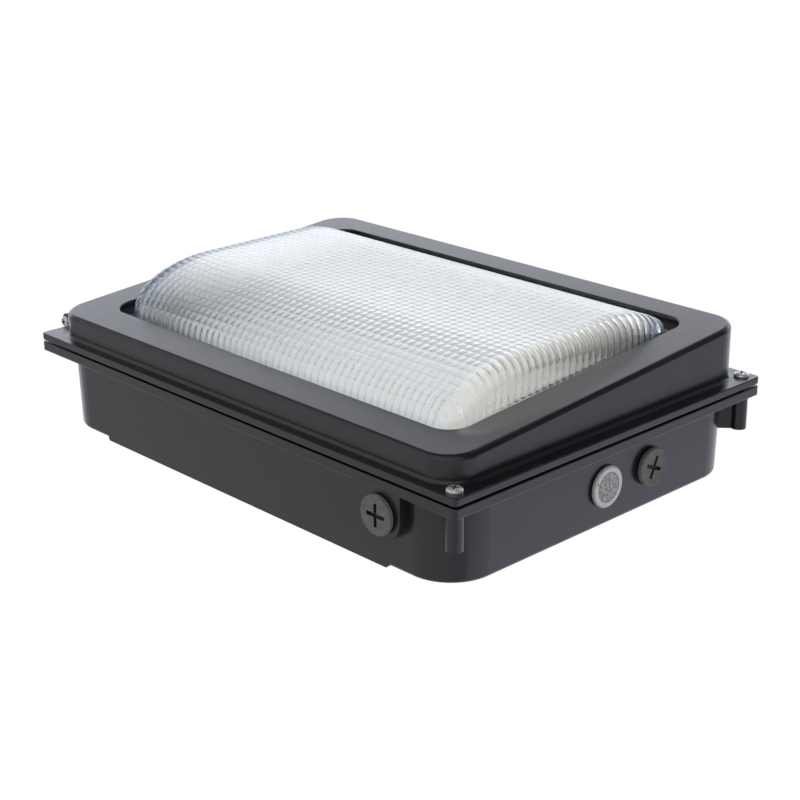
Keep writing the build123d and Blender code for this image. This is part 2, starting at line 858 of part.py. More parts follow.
def ground_lead():
    ring = Cylinder(ground_ring_radius, ground_ring) - Cylinder(screw_radius + screw_hole_gap, ground_ring)
    ring = Pos(ground_x, terminal_y, floor_level + ground_ring / 2) * ring
    wire_level = floor_level + lead_radius + lead_lift
    start = ground_x - ground_ring_radius + lead_radius / 2
    wire = rod(lead_radius, (start, terminal_y, wire_level), (terminal_length / 2, terminal_y, wire_level))
    return ring + wire


pieces = {
    "rear_housing": rear_housing(),
    "housing_hinges": hinge_pair(housing_knuckle),
    "door_gasket": door_gasket(),
    "front_frame": front_frame(),
    "door_hinges": hinge_pair(door_knuckle),
    "lens": lens(),
    "lens_gasket": lens_gasket(),
    "lens_clips": lens_clips(),
    "clip_screws": clip_screws(),
    "upper_door_screw": door_screw(1),
    "lower_door_screw": door_screw(-1),
    "hinge_screws": hinge_screws(),
    "bottom_plug": at_bottom_entry(conduit_plug()),
    "bottom_plug_seal": at_bottom_entry(plug_seal_ring()),
    "right_plug": at_end(Rot(0, 0, plug_turn_at_end) * conduit_plug(), 1, end_entry_y, end_entry_level),
    "right_plug_seal": at_end(plug_seal_ring(), 1, end_entry_y, end_entry_level),
    "left_plug": at_end(Rot(0, 0, plug_turn_at_end) * conduit_plug(), -1, end_entry_y, end_entry_level),
    "left_plug_seal": at_end(plug_seal_ring(), -1, end_entry_y, end_entry_level),
    "photocell_body": at_photocell(photocell_body()),
    "photocell_window": at_photocell(photocell_window()),
    "photocell_sensor": at_photocell(photocell_sensor_chip()),
    "photocell_gasket": at_photocell(photocell_gasket()),
    "photocell_nut": at_photocell(photocell_nut_ring()),
    "led_tray": led_tray(),
    "tray_screws": tray_screws(),
    "led_board": led_board(),
    "board_screws": board_screws(),
    "led_chips": led_chips(),
    "reflector": reflector(),
    "reflector_rivets": reflector_rivets(),
    "led_driver": led_driver(),
    "driver_screws": driver_screws(),
    "terminal_block": terminal_block(),
    "terminal_screws": terminal_screws(),
    "ground_screw": ground_screw(),
    "led_leads": led_leads(),
    "photocell_leads": photocell_leads(),
    "mains_leads": mains_leads(),
    "ground_lead": ground_lead(),
}

os.makedirs("parts", exist_ok=True)
for name, piece in pieces.items():
    export_step(Rot(90, 0, 0) * piece, f"parts/{name}.step")
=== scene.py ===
import math

import bmesh
import bpy
import numpy as np
from mathutils import Matrix, Vector


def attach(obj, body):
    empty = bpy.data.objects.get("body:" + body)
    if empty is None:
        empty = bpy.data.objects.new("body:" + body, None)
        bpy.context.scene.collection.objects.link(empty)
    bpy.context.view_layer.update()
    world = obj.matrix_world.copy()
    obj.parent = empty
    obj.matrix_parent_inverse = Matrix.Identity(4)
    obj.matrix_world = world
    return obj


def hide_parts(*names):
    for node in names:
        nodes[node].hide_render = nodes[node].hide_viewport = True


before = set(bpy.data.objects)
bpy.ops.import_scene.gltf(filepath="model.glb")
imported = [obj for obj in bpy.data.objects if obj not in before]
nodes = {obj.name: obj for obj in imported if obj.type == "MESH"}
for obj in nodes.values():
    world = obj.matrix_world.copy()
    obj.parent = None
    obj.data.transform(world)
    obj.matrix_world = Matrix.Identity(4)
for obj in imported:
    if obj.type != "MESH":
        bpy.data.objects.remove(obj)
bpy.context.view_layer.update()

scene = bpy.context.scene
scene.view_settings.view_transform = "Standard"
print("frame loaded:", len(nodes), "nodes")


def addObject(name, data):
    thing = bpy.data.objects.new(name, data)
    scene.collection.objects.link(thing)
    return thing


# camera: where the photograph was taken from, with the light lying on its back
viewpoint = {
    "place": (0.788546, -0.438456, -0.738317),
    "look": (-0.6778, 0.3526, 0.6452),
    "up": (-0.2502, -0.9357, 0.2486),
    "lens": 77.68,
    "sensor": 36.0,
    "near": 0.01,
    "far": 50.0,
}


def makeCamera(s):
    data = bpy.data.cameras.new("photoCamera")
    data.lens = s["lens"]
    data.sensor_width = s["sensor"]
    data.clip_start = s["near"]
    data.clip_end = s["far"]
    camera = addObject("photoCamera", data)
    back = -Vector(s["look"]).normalized()
    side = Vector(s["up"]).cross(back).normalized()
    turn = Matrix((side, back.cross(side), back)).transposed().to_4x4()
    camera.matrix_world = Matrix.Translation(Vector(s["place"])) @ turn
    scene.camera = camera


makeCamera(viewpoint)


# helpers for every node tree
def fill(tree, made, inputs):
    # a plain value goes on the socket itself, another node's output is linked to it
    for label, value in inputs.items():
        if isinstance(value, bpy.types.NodeSocket):
            tree.links.new(value, made.inputs[label])
        else:
            made.inputs[label].default_value = value


def node(tree, kind, inputs=None, **settings):
    made = tree.nodes.new(kind)
    for key, value in settings.items():
        setattr(made, key, value)
    fill(tree, made, inputs or {})
    return made


def maths(tree, operation, *values):
    return node(tree, "ShaderNodeMath", dict(enumerate(values)), operation=operation).outputs[0]


def times(tree, *values):
    total = values[0]
    for value in values[1:]:
        total = maths(tree, "MULTIPLY", total, value)
    return total


def rest(tree, share):
    # what a share leaves of 1
    return maths(tree, "SUBTRACT", 1.0, share)


def ranged(tree, value, start, full, low=0.0, high=1.0, smooth=False):
    # runs from low to high while the value runs from start to full, and stays there
    inputs = {"Value": value, "From Min": start, "From Max": full, "To Min": low, "To Max": high}
    kind = "SMOOTHSTEP" if smooth else "LINEAR"
    return node(tree, "ShaderNodeMapRange", inputs, interpolation_type=kind).outputs["Result"]


def rgba(colour):
    return (*colour, 1.0)


def ramped(tree, value, stops):
    # the colour at a value, between stops of a place and a colour each
    ramp = node(tree, "ShaderNodeValToRGB", {"Fac": value})
    while len(ramp.color_ramp.elements) < len(stops):
        ramp.color_ramp.elements.new(0.5)
    for element, (at, colour) in zip(ramp.color_ramp.elements, stops):
        element.position = at
        element.color = rgba(colour)
    return ramp.outputs["Color"]


def blend(tree, share, usual, other):
    # from one colour towards another by the share
    return node(tree, "ShaderNodeMix", {"Factor": share, 6: usual, 7: other}, data_type="RGBA").outputs[2]


def mixShaders(tree, share, usual, other):
    return node(tree, "ShaderNodeMixShader", {0: share, 1: usual, 2: other}).outputs[0]


# studio: white surround, three soft lamps and a small one for glints
studio = {
    "surround": 0.46,
    "mirrorLevel": 1.62,
    "mirrorTint": (0.89, 0.915, 1.0),
    # how high the reflected ray points, 0 level and 1 straight out of the wall, and how bright it is there:
    # first towards the lit backdrop beyond the upper left corner, then towards the other sides
    "mirrorFade": [(-0.5, 0.55), (0.0, 0.62), (0.24, 1.0), (0.39, 0.98), (0.46, 0.50), (0.55, 0.14),
                   (0.7, 0.04)],
    "sideFade": [(-0.5, 0.56), (-0.37, 0.50), (-0.24, 0.16), (-0.08, 0.06), (0.7, 0.03)],
    "backdropSpan": (0.15, 0.70),
    "aim": (0, -0.05, 0),
    "mirroredLamp": "glintStrip",
    "lamps": [
        # name, place, size, power
        ("keySoftbox", (-0.35, -1.9, 0.55), 1.5, 15.0),
        ("topSoftbox", (0.5, -0.9, 1.7), 1.2, 9.6),
        ("fillSoftbox", (1.3, -1.0, -1.3), 1.0, 12.0),
        ("glintStrip", (-0.36, -1.31, 1.16), 0.3, 0.9),
    ],
}


def makeSurround(s):
    # the eye and the glass see plain white; polished faces see a pale backdrop that darkens overhead
    world = bpy.data.worlds.new("whiteSurround")
    scene.world = world
    world.use_nodes = True
    tree = world.node_tree
    tree.nodes.clear()
    path = node(tree, "ShaderNodeLightPath").outputs
    ray = node(tree, "ShaderNodeTexCoord").outputs["Generated"]
    x, y, z = node(tree, "ShaderNodeSeparateXYZ", {0: ray}).outputs
    height = ranged(tree, y, 1.0, -1.0)
    across = times(tree, maths(tree, "SUBTRACT", z, x), math.sqrt(0.5))  # 1 towards the upper left
    fades = []
    for fade in (s["sideFade"], s["mirrorFade"]):
        stops = [((at + 1) / 2, [c * level for c in s["mirrorTint"]]) for at, level in fade]
        fades.append(ramped(tree, height, stops))
    mirrored = blend(tree, ranged(tree, across, *s["backdropSpan"], smooth=True), *fades)

    def backdrop(colour, strength):
        return node(tree, "ShaderNodeBackground", {"Color": colour, "Strength": strength}).outputs[0]

    white = rgba((1.0, 1.0, 1.0))
    soft, polished = backdrop(white, s["surround"]), backdrop(mirrored, s["mirrorLevel"])
    lit = mixShaders(tree, path["Is Glossy Ray"], soft, polished)
    seen = maths(tree, "MAXIMUM", path["Is Camera Ray"], path["Is Transmission Ray"])
    node(tree, "ShaderNodeOutputWorld", {"Surface": mixShaders(tree, seen, lit, backdrop(white, 1.0))})


def makeLamps(s):
    for name, place, size, power in s["lamps"]:
        data = bpy.data.lights.new(name, "AREA")
        data.shape = "SQUARE"
        data.size = size
        data.energy = power
        lamp = addObject(name, data)
        lamp.location = place
        lamp.rotation_euler = (Vector(s["aim"]) - Vector(place)).to_track_quat("-Z", "Y").to_euler()
        lamp.visible_glossy = name == s["mirroredLamp"]


makeSurround(studio)
makeLamps(studio)
print("camera and studio ready")


# materials: each reads Object coordinates, in metres
noiseSpan = (0.3, 0.7)  # where most values of a noise texture lie
toneSpan = (0.32, 0.68)


def startMaterial(name):
    material = bpy.data.materials.new(name)
    material.use_nodes = True
    tree = material.node_tree
    tree.nodes.clear()
    shader = node(tree, "ShaderNodeBsdfPrincipled")
    node(tree, "ShaderNodeOutputMaterial", {"Surface": shader.outputs["BSDF"]})
    return material, tree, shader, node(tree, "ShaderNodeTexCoord").outputs["Object"]


def noiseOn(tree, place, scale, detail=3.0):
    inputs = {"Vector": place, "Scale": scale, "Detail": detail}
    return node(tree, "ShaderNodeTexNoise", inputs).outputs["Fac"]


def uneven(tree, place, scale, low, high):
    # a value that wanders between two limits over the surface
    return ranged(tree, noiseOn(tree, place, scale), *noiseSpan, low, high)


def bumped(tree, height, strength, depth, before=None):
    inputs = {"Height": height, "Strength": strength, "Distance": depth}
    if before is not None:
        inputs["Normal"] = before
    return node(tree, "ShaderNodeBump", inputs).outputs["Normal"]


def readAttribute(tree, label):
    return node(tree, "ShaderNodeAttribute", attribute_name=label).outputs["Fac"]


def speckled(name, s):
    # one recipe for painted, moulded and plated finishes: two tones, uneven gloss, one or two grains
    material, tree, shader, place = startMaterial(name)
    tone = noiseOn(tree, place, s["toneScale"], detail=4.0)
    colour = ramped(tree, tone, list(zip(toneSpan, (s["dark"], s["pale"]))))
    if "recess" in s:
        # painted shade: darkens the faces marked as the inside of a slot
        colour = blend(tree, readAttribute(tree, "recess"), colour, rgba([s["recess"]] * 3))
    coarse = noiseOn(tree, place, s["coarse"], detail=2.0)
    normal = bumped(tree, coarse, s["coarseBump"], s["coarseDepth"])
    if "fine" in s:
        fine = noiseOn(tree, place, s["fine"], detail=1.0)
        normal = bumped(tree, fine, s["fineBump"], s["fineDepth"], normal)
    fill(tree, shader, {
        "Base Color": colour,
        "Roughness": uneven(tree, place, s["glossScale"], s["smooth"], s["rough"]),
        "Normal": normal,
        "Metallic": s.get("metal", 0.0),
        "IOR": 1.5,
        "Specular Tint": rgba(s.get("sheen", (1.0, 1.0, 1.0))),
        "Coat Weight": s.get("coat", 0.0),
        "Coat Roughness": s.get("coatRough", 0.2),
    })
    return material


finishes = {
    "powderCoat": {
        "dark": (0.0050, 0.0052, 0.0062), "pale": (0.0085, 0.0087, 0.0100), "toneScale": 55.0,
        "glossScale": 130.0, "smooth": 0.30, "rough": 0.34, "coat": 0.6, "coatRough": 0.20,
        "sheen": (0.86, 0.90, 1.0),
        "coarse": 900.0, "coarseBump": 0.06, "coarseDepth": 0.00005,
        "fine": 2600.0, "fineBump": 0.05, "fineDepth": 0.00003,
    },
    "plugPlastic": {
        # the slot tone is painted shade inside the cross slots
        "dark": (0.112, 0.110, 0.109), "pale": (0.155, 0.152, 0.150), "toneScale": 240.0, "recess": 0.02,
        "glossScale": 300.0, "smooth": 0.50, "rough": 0.66,
        "coarse": 1500.0, "coarseBump": 0.30, "coarseDepth": 0.00010,
        "fine": 4200.0, "fineBump": 0.2, "fineDepth": 0.00005,
    },
    "sealRubber": {
        "dark": (0.006, 0.006, 0.006), "pale": (0.012, 0.012, 0.012), "toneScale": 300.0,
        "glossScale": 200.0, "smooth": 0.62, "rough": 0.8,
        "coarse": 1200.0, "coarseBump": 0.25, "coarseDepth": 0.0001,
    },
    "zincSteel": {
        # the slot tone is painted shade inside the cross slots
        "dark": (0.60, 0.60, 0.61), "pale": (0.80, 0.80, 0.81), "toneScale": 400.0, "recess": 0.03,
        "glossScale": 900.0, "smooth": 0.22, "rough": 0.36, "metal": 0.72,
        "coarse": 2400.0, "coarseBump": 0.10, "coarseDepth": 0.00004,
    },
    "cellPlastic": {
        "dark": (0.34, 0.345, 0.35), "pale": (0.46, 0.465, 0.47), "toneScale": 260.0,
        "glossScale": 300.0, "smooth": 0.35, "rough": 0.5,
        "coarse": 1500.0, "coarseBump": 0.1, "coarseDepth": 0.00005,
    },
    "sensorDark": {
        "dark": (0.03, 0.018, 0.015), "pale": (0.07, 0.04, 0.03), "toneScale": 900.0,
        "glossScale": 600.0, "smooth": 0.12, "rough": 0.25, "coat": 0.5,
        "coarse": 2500.0, "coarseBump": 0.05, "coarseDepth": 0.00003,
    },
    "whiteEnamel": {
        "dark": (0.80, 0.81, 0.81), "pale": (0.88, 0.885, 0.88), "toneScale": 24.0,
        "glossScale": 80.0, "smooth": 0.25, "rough": 0.36,
        "coarse": 700.0, "coarseBump": 0.12, "coarseDepth": 0.00010,
    },
    "driverCase": {
        "dark": (0.55, 0.555, 0.55), "pale": (0.66, 0.665, 0.66), "toneScale": 90.0,
        "glossScale": 200.0, "smooth": 0.38, "rough": 0.52,
        "coarse": 1400.0, "coarseBump": 0.2, "coarseDepth": 0.00008,
    },
    "terminalNylon": {
        "dark": (0.70, 0.67, 0.58), "pale": (0.80, 0.77, 0.68), "toneScale": 120.0,
        "glossScale": 260.0, "smooth": 0.34, "rough": 0.5,
        "coarse": 1200.0, "coarseBump": 0.1, "coarseDepth": 0.00006,
    },
    "greenPlate": {
        "dark": (0.03, 0.20, 0.07), "pale": (0.06, 0.32, 0.12), "toneScale": 300.0,
        "glossScale": 500.0, "smooth": 0.3, "rough": 0.45,
        "coarse": 1600.0, "coarseBump": 0.1, "coarseDepth": 0.00005,
    },
    "whiteWire": {
        "dark": (0.72, 0.72, 0.70), "pale": (0.82, 0.82, 0.80), "toneScale": 200.0,
        "glossScale": 300.0, "smooth": 0.32, "rough": 0.46,
        "coarse": 900.0, "coarseBump": 0.1, "coarseDepth": 0.00005,
    },
    "blackWire": {
        "dark": (0.012, 0.012, 0.012), "pale": (0.022, 0.022, 0.022), "toneScale": 200.0,
        "glossScale": 300.0, "smooth": 0.32, "rough": 0.46,
        "coarse": 900.0, "coarseBump": 0.1, "coarseDepth": 0.00005,
    },
    "chipFrame": {
        "dark": (0.78, 0.78, 0.76), "pale": (0.86, 0.86, 0.84), "toneScale": 500.0,
        "glossScale": 500.0, "smooth": 0.3, "rough": 0.42,
        "coarse": 3000.0, "coarseBump": 0.1, "coarseDepth": 0.00003,
    },
    "chipPhosphor": {
        "dark": (0.84, 0.74, 0.42), "pale": (0.90, 0.82, 0.55), "toneScale": 1600.0,
        "glossScale": 900.0, "smooth": 0.25, "rough": 0.4, "coat": 0.6, "coatRough": 0.12,
        "coarse": 3000.0, "coarseBump": 0.1, "coarseDepth": 0.00003,
    },
}
made = {name: speckled(name, s) for name, s in finishes.items()}


glassFinish = {
    "pale": (0.955, 0.97, 0.985), "warm": (0.95, 0.94, 0.90), "cold": (0.51, 0.59, 0.68),
    # the seam colour is painted shade for the grooves between pillows and flutes
    "seamShade": (0.10, 0.12, 0.15), "letsThrough": (0.96, 0.97, 0.98),
    "ior": 1.5, "rough": (0.04, 0.064), "roughScale": 60.0,
    # how clear the glass is on its crest and on the slope below it, and what the left end takes from that
    "clearTop": 0.70, "clear": 0.82, "leftMilk": 0.34, "crest": -0.1115, "slope": -0.092,
    "halfLength": 0.157, "leftEnd": -0.1395, "rightEnd": 0.1480, "endFade": 0.012,
    # how dark the painted shade of each kind of mark is
    "foot": 0.80, "dash": 0.75, "flute": 0.70, "stroke": 1.0, "dot": 0.65, "rope": 0.60,
    # what stays of dashes on the slope, of strokes far from the left end, of wall marks from top to foot
    "slopeDash": 0.22, "hatch": 0.24, "deep": (0.2, 1.0),
    # where a mark starts and is full, from 0 in the middle of a pillow to 0.5 at its edge
    "seam": (0.40, 0.50), "dashEnd": (0.14, 0.40), "strokeSide": (0.18, 0.42), "strokeEnd": (0.30, 0.46),
    "dotSide": (0.28, 0.46), "ropeSide": (0.15, 0.45), "farSide": (0.20, 0.46),
    # where marks and tints start and are full along X, and in the far right corner along X and Z
    "leftSpan": (-0.070, -0.140), "ropeSpan": (-0.1395, -0.1425),
    "farCorner": ((0.140, 0.154), (0.066, 0.090)), "farStroke": ((0.140, 0.148), (0.010, 0.075)),
}


def makePrismGlass(name, s):
    # pressed glass, a little milky on its crest, with painted shade along the seams between pillows and
    # flutes
    material, tree, shader, place = startMaterial(name)
    x, y, z = node(tree, "ShaderNodeSeparateXYZ", {0: place}).outputs

    def seam(label, span=s["seam"]):
        # 0 along the middle of a pillow, rising to 1 at its edge
        swing = maths(tree, "SUBTRACT", maths(tree, "FRACT", readAttribute(tree, label)), 0.5)
        return ranged(tree, maths(tree, "ABSOLUTE", swing), *span, smooth=True)

    def inCorner(spans):
        return times(tree, ranged(tree, x, *spans[0]), ranged(tree, z, *spans[1]))

    def downSlope(low, high):
        return ranged(tree, y, s["crest"], s["slope"], low, high)

    onTop, offEnd = readAttribute(tree, "rowShare"), readAttribute(tree, "columnShare")
    pillow = times(tree, onTop, offEnd)
    deep = ranged(tree, readAttribute(tree, "baseShare"), 0.0, 1.0, *s["deep"])
    leftward, downward = ranged(tree, x, *s["leftSpan"]), downSlope(0.0, 1.0)
    # painted shade in lines up the foot, dashes between the rows of pillows, flutes down the end walls
    foot = times(tree, seam("column"), rest(tree, onTop), deep, s["foot"])
    between = rest(tree, seam("column", s["dashEnd"]))
    dash = times(tree, seam("row"), between, pillow, downSlope(1.0, s["slopeDash"]), s["dash"])
    flute = times(tree, seam("row"), rest(tree, offEnd), deep, deep, s["flute"])
    # painted shade in strokes and dots on the slope, darkest towards the lower left corner
    strength = times(tree, maths(tree, "MAXIMUM", leftward, s["hatch"]), downward, s["stroke"])
    gap = rest(tree, seam("row", s["strokeEnd"]))
    stroke = times(tree, seam("column", s["strokeSide"]), gap, pillow, strength)
    dot = times(tree, seam("column", s["dotSide"]), seam("row", s["dotSide"]), pillow, downward, s["dot"])
    # painted shade in a rope pattern along the left edge, and in strokes towards the far right corner
    rope = times(tree, seam("row", s["ropeSide"]), ranged(tree, x, *s["ropeSpan"]), s["rope"])
    farStroke = times(tree, seam("row", s["farSide"]), inCorner(s["farStroke"]))
    # all the painted seam shade together, kept to where the glass has relief
    dark = foot
    for mark in (dash, flute, stroke, dot, rope, farStroke):
        dark = maths(tree, "MAXIMUM", dark, mark)
    dark = times(tree, dark, maths(tree, "MINIMUM", readAttribute(tree, "reliefShare"), 1.0))

    left, right = [(at / s["halfLength"] + 1) / 2 for at in (s["leftEnd"], s["rightEnd"])]
    stops = [(left - s["endFade"], s["cold"]), (left, s["pale"]), (right, s["pale"])]
    stops.append((right + s["endFade"], s["warm"]))
    colour = ramped(tree, ranged(tree, x, -s["halfLength"], s["halfLength"]), stops)
    colour = blend(tree, inCorner(s["farCorner"]), colour, rgba(s["cold"]))
    milk = times(tree, leftward, rest(tree, downward), s["leftMilk"])
    fill(tree, shader, {
        "Base Color": blend(tree, dark, colour, rgba(s["seamShade"])),
        "Roughness": uneven(tree, place, s["roughScale"], *s["rough"]),
        "Transmission Weight": maths(tree, "SUBTRACT", downSlope(s["clearTop"], s["clear"]), milk),
        "IOR": s["ior"],
    })
    # lamp light goes straight through, so that the chamber behind the glass is lit
    surface = shader.outputs["BSDF"].links[0].to_socket
    shadow = node(tree, "ShaderNodeLightPath").outputs["Is Shadow Ray"]
    through = node(tree, "ShaderNodeBsdfTransparent", {"Color": rgba(s["letsThrough"])}).outputs["BSDF"]
    tree.links.new(mixShaders(tree, shadow, shader.outputs["BSDF"], through), surface)
    return material


made["prismGlass"] = makePrismGlass("prismGlass", glassFinish)

cellFinish = {
    "axis": (-0.0277, -0.0004), "disc": 0.0089, "line": 0.0092, "ring": 0.0098,
    "mottle": ((0.20, 0.205, 0.21), (0.47, 0.475, 0.48)), "mottleSpan": (0.38, 0.64), "mottleScale": 620.0,
    "lineDark": (0.10, 0.10, 0.105), "clearRing": (0.64, 0.65, 0.66),
    "notch": (-0.0045, -0.0100), "notchHalf": (0.0010, 0.0006),
    "rough": (0.10, 0.22), "roughScale": 900.0, "bumpScale": 700.0, "bump": (0.35, 0.00025), "ior": 1.49,
}


def makeCellGlass(name, s):
    # clear plastic over a mottled disc, then a thin dark line and a paler ring, which has a small dark gap
    material, tree, shader, place = startMaterial(name)
    mottle = noiseOn(tree, place, s["mottleScale"], detail=4.0)
    colour = ramped(tree, mottle, list(zip(s["mottleSpan"], s["mottle"])))
    inputs = {"Vector": place, "Location": (0, *s["axis"])}
    centred = node(tree, "ShaderNodeMapping", inputs, vector_type="TEXTURE")
    across = node(tree, "ShaderNodeSeparateXYZ", {0: centred.outputs["Vector"]}).outputs
    squares = [times(tree, across[axis], across[axis]) for axis in "YZ"]
    radius = maths(tree, "SQRT", maths(tree, "ADD", *squares))
    for inside, outside, tint in (("disc", "line", "lineDark"), ("line", "ring", "clearRing")):
        colour = blend(tree, ranged(tree, radius, s[inside], s[outside]), colour, rgba(s[tint]))
    inNotch = []
    for axis, middle, half in zip("YZ", s["notch"], s["notchHalf"]):
        off = maths(tree, "ABSOLUTE", maths(tree, "SUBTRACT", across[axis], middle))
        inNotch.append(maths(tree, "LESS_THAN", off, half))
    fill(tree, shader, {
        "Base Color": blend(tree, times(tree, *inNotch), colour, rgba(s["lineDark"])),
        "Roughness": uneven(tree, place, s["roughScale"], *s["rough"]),
        "Normal": bumped(tree, noiseOn(tree, place, s["bumpScale"]), *s["bump"]),
        "IOR": s["ior"],
    })
    return material


made["cellGlass"] = makeCellGlass("cellGlass", cellFinish)

boardFinish = {
    "mask": (0.86, 0.86, 0.84), "maskShade": 0.985, "track": (0.74, 0.75, 0.73),
    "pitch": 0.0182, "row": 0.022, "line": 0.0012, "softEdge": 0.1,
    "rough": (0.3, 0.42), "roughScale": 300.0, "bump": (0.25, 0.00005),
}


def makeBoardFinish(name, s):
    # white solder mask over copper tracks that run between the lamp chips
    material, tree, shader, place = startMaterial(name)
    turned = node(tree, "ShaderNodeMapping", {"Vector": place, "Rotation": (math.radians(90), 0, 0)})
    brick = node(tree, "ShaderNodeTexBrick", {
        "Vector": turned.outputs["Vector"], "Scale": 1.0, "Brick Width": s["pitch"], "Row Height": s["row"],
        "Mortar Size": s["line"], "Mortar Smooth": s["softEdge"], "Color1": rgba(s["mask"]),
        "Color2": rgba([c * s["maskShade"] for c in s["mask"]]), "Mortar": rgba(s["track"]),
    })
    fill(tree, shader, {
        "Base Color": brick.outputs["Color"],
        "Roughness": uneven(tree, place, s["roughScale"], *s["rough"]),
        "Normal": bumped(tree, brick.outputs["Fac"], *s["bump"]),
    })
    return material


made["lampBoard"] = makeBoardFinish("lampBoard", boardFinish)

wearing = {
    "powderCoat": ["rear_housing", "housing_hinges", "front_frame", "door_hinges"],
    "sealRubber": ["door_gasket", "lens_gasket", "bottom_plug_seal", "right_plug_seal", "left_plug_seal",
                   "photocell_gasket"],
    "zincSteel": ["upper_door_screw", "lower_door_screw", "hinge_screws", "lens_clips", "clip_screws",
                  "tray_screws", "board_screws", "reflector_rivets", "driver_screws", "terminal_screws"],
    "plugPlastic": ["bottom_plug", "right_plug", "left_plug"],
    "cellGlass": ["photocell_window"],
    "cellPlastic": ["photocell_body", "photocell_nut"],
    "sensorDark": ["photocell_sensor"],
    "whiteEnamel": ["led_tray", "reflector"],
    "lampBoard": ["led_board"],
    "chipPhosphor": ["led_chips"],
    "driverCase": ["led_driver"],
    "terminalNylon": ["terminal_block"],
    "greenPlate": ["ground_screw", "ground_lead"],
    "whiteWire": ["led_leads"],
    "blackWire": ["mains_leads", "photocell_leads"],
    "prismGlass": ["lens"],
}


def paint(thing, material):
    thing.data.materials.clear()
    thing.data.materials.append(material)


for finish, names in wearing.items():
    for name in names:
        paint(nodes[name], made[finish])
print("materials on", sum(len(names) for names in wearing.values()), "nodes")


# floor: well below the light, and not part of it
paleFloor = {
    "level": -1.25, "size": 14.0, "rough": 0.8,
    "toneScale": 3.0, "tones": ((0.86, 0.86, 0.86), (0.89, 0.89, 0.89)),
}


def makeFloor(s):
    half = s["size"] / 2
    mesh = bpy.data.meshes.new("paleFloor")
    corners = [(-half, -half), (half, -half), (half, half), (-half, half)]
    mesh.from_pydata([(x, y, s["level"]) for x, y in corners], [], [(0, 1, 2, 3)])
    material, tree, shader, place = startMaterial("paleFloorPaint")
    colour = ramped(tree, noiseOn(tree, place, s["toneScale"]), list(zip(noiseSpan, s["tones"])))
    fill(tree, shader, {"Base Color": colour, "Roughness": s["rough"]})
    floor = addObject("paleFloor", mesh)
    paint(floor, material)


makeFloor(paleFloor)


# Geometry Nodes helpers
def startTree(name, sizes):
    # a mesh, named sizes and a material go in, a mesh comes out
    tree = bpy.data.node_groups.new(name, "GeometryNodeTree")
    kinds = {"Geometry": "NodeSocketGeometry", **sizes, "Material": "NodeSocketMaterial"}
    for label, kind in kinds.items():
        tree.interface.new_socket(label, in_out="INPUT", socket_type=kind)
    tree.interface.new_socket("Geometry", in_out="OUTPUT", socket_type="NodeSocketGeometry")
    return tree, node(tree, "NodeGroupInput").outputs


def endTree(tree, entry, mesh):
    # real geometry, in one material
    real = node(tree, "GeometryNodeRealizeInstances", {"Geometry": mesh}).outputs["Geometry"]
    coloured = node(tree, "GeometryNodeSetMaterial", {"Geometry": real, "Material": entry["Material"]})
    node(tree, "NodeGroupOutput", {"Geometry": coloured.outputs["Geometry"]})
    return tree


def socketId(tree, label):
    return next(i.identifier for i in tree.interface.items_tree if i.name == label and i.in_out == "INPUT")


def keepResult(thing, modifier):
    # runs the modifier once and keeps its result as a plain mesh
    bpy.context.view_layer.update()
    evaluated = thing.evaluated_get(bpy.context.evaluated_depsgraph_get())
    mesh = bpy.data.meshes.new_from_object(evaluated)
    mesh.name = thing.name
    thing.modifiers.remove(modifier)
    old = thing.data
    thing.data = mesh
    bpy.data.meshes.remove(old)


def settle(thing, tree, values):
    modifier = thing.modifiers.new(tree.name, "NODES")
    modifier.node_group = tree
    for label, value in values.items():
        modifier[socketId(tree, label)] = value
    keepResult(thing, modifier)
    return thing


# lens: a glass loaf that arches up from its lower edge, pressed outside into rows of small pillows
lensGlass = {
    "halfLength": 0.157,
    "low": -0.097,
    "high": 0.103,
    "corner": 0.0155,
    "shoulder": 0.012,
    "shoulderLimit": 0.8,
    "crest": 0.1115,
    "riseRun": 0.066,
    "risePoints": 400,
    "fallStart": 0.055,
    "fallRadius": 0.080,
    "fallPoints": 200,
    "glass": 0.004,
    "rimTop": 0.085,
    "rimUnder": 0.081,
    "slope": 0.078,
    "rim": {"half": (0.1695, 0.1125), "middle": 0.0025, "corner": 0.021,
            "core": 0.02, "reach": 0.2, "halvings": 40},
    "bendZone": 0.055,
    "pillow": 0.006,
    "pillowCut": 6,
    "innerThin": 3,
    "shoulderCuts": 12,
    "wallCuts": 6,
    "plainFoot": 0.0115,
    "farSlant": 0.0015,
    "relief": 0.00034,
    "fluteRelief": 2.0,
    "shoulderShare": 0.35,
    "lowWall": 0.016,
    "weld": 1e-6,
}
lensAttributes = ("column", "row", "rowShare", "columnShare", "reliefShare", "baseShare")


def archLine(s, inset, foot):
    # points up the arch from its lower foot, over the crest and down the far side, and the way to each
    low, high = s["low"] + inset, s["high"] - inset
    crest, run = s["crest"] - inset, s["riseRun"] - inset
    base = foot + s["slope"] * low
    turn = np.linspace(0, math.pi / 2, s["risePoints"])
    rise = np.stack([low + run * (1 - np.cos(turn)), base + (crest - base) * np.sin(turn)], -1)
    radius = s["fallRadius"] - inset
    reach = math.asin((high - s["farSlant"] - s["fallStart"]) / radius)
    fall = np.linspace(0, reach, s["fallPoints"])
    drop = np.stack([s["fallStart"] + radius * np.sin(fall), crest - radius * (1 - np.cos(fall))], -1)
    end = np.array([[high, foot + s["slope"] * high]])
    line = np.concatenate([rise, drop, end])
    travel = np.concatenate([[0], np.cumsum(np.linalg.norm(np.diff(line, axis=0), axis=1))])
    return line, travel


